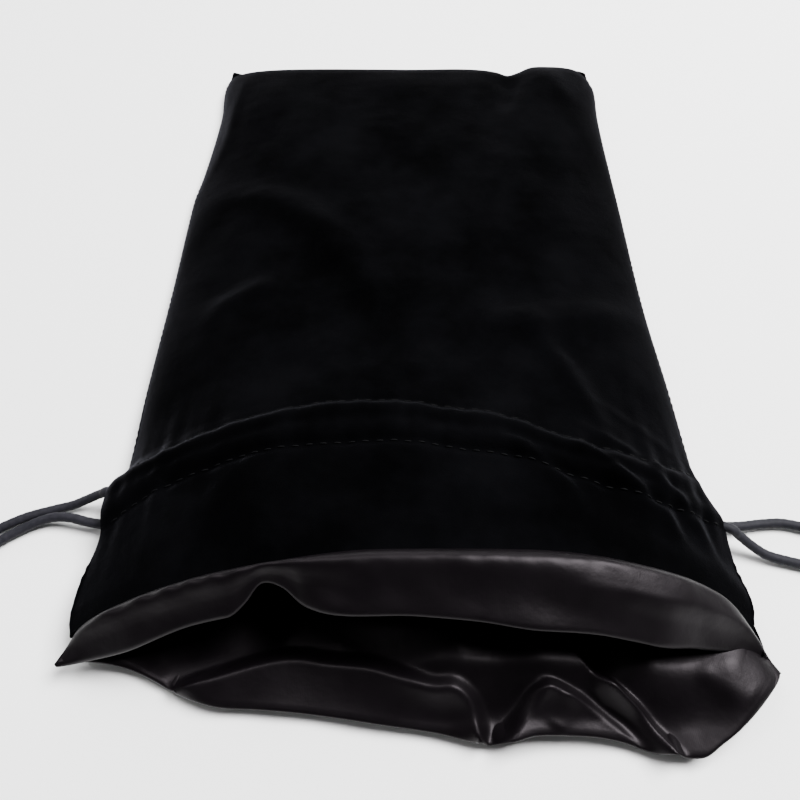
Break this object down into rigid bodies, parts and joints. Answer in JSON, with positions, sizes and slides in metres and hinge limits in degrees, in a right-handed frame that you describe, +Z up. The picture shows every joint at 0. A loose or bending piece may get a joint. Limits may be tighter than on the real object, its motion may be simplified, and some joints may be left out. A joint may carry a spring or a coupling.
{
  "type": "drawstring dice bag",
  "caption": "Flat lined velvet drawstring pouch lying with its satin-rimmed mouth open, drawn shut by a pair of opposed cords in a stitched casing.",
  "frame": {"origin": "middle of the bag's footprint, on the surface it lies on", "axes": "+X to the bag's right as seen from its mouth, +Y from the mouth to the sewn bottom, +Z up; the drawcords leave along X"},
  "size_m": [0.255, 0.2577, 0.0295],
  "materials": {
    "velvet": "black cotton velvet, short pile",
    "satin": "black polyester satin",
    "thread": "dark sewing thread",
    "cord": "soft woven cord"
  },
  "bodies": {
    "bag": {"velvet_front_panel": "velvet", "velvet_back_panel": "velvet", "lining_front_panel": "satin", "lining_back_panel": "satin", "satin_rim_front": "satin", "satin_rim_back": "satin", "bottom_seam": "velvet", "front_casing_stitch_upper": "thread", "front_casing_stitch_lower": "thread", "back_casing_stitch_upper": "thread", "back_casing_stitch_lower": "thread"},
    "left_side": {"left_header_seam": "velvet", "left_side_seam": "velvet"},
    "right_side": {"right_header_seam": "velvet", "right_side_seam": "velvet"},
    "left_cord": {"left_drawcord": "cord", "left_cord_knot": "cord"},
    "right_cord": {"right_drawcord": "cord", "right_cord_knot": "cord"}
  },
  "joints": [
    {"name": "left_cord_pull", "type": "slide", "parent": "bag", "child": "left_cord", "axis": [-1, 0, 0], "range_m": [0, 0.036], "deforming": ["left_drawcord"]},
    {"name": "right_cord_pull", "type": "slide", "parent": "bag", "child": "right_cord", "axis": [1, 0, 0], "range_m": [0, 0.036], "deforming": ["right_drawcord"]},
    {"name": "left_side_gather", "type": "hinge", "parent": "bag", "child": "left_side", "pos_m": [-0.0725, 0.124, 0], "axis": [0, 0, 1], "range_deg": [0, 10.6], "deforming": ["velvet_front_panel", "velvet_back_panel", "lining_front_panel", "lining_back_panel", "satin_rim_front", "satin_rim_back", "front_casing_stitch_upper", "front_casing_stitch_lower", "back_casing_stitch_upper", "back_casing_stitch_lower"]},
    {"name": "right_side_gather", "type": "hinge", "parent": "bag", "child": "right_side", "pos_m": [0.0725, 0.124, 0], "axis": [0, 0, -1], "range_deg": [0, 10.6]}
  ],
  "couplings": [
    {"joint": "right_cord_pull", "follows": "left_cord_pull", "ratio": 1},
    {"joint": "left_side_gather", "follows": "left_cord_pull", "rad_per_m": 5.1282},
    {"joint": "right_side_gather", "follows": "left_cord_pull", "rad_per_m": 5.1282}
  ]
}
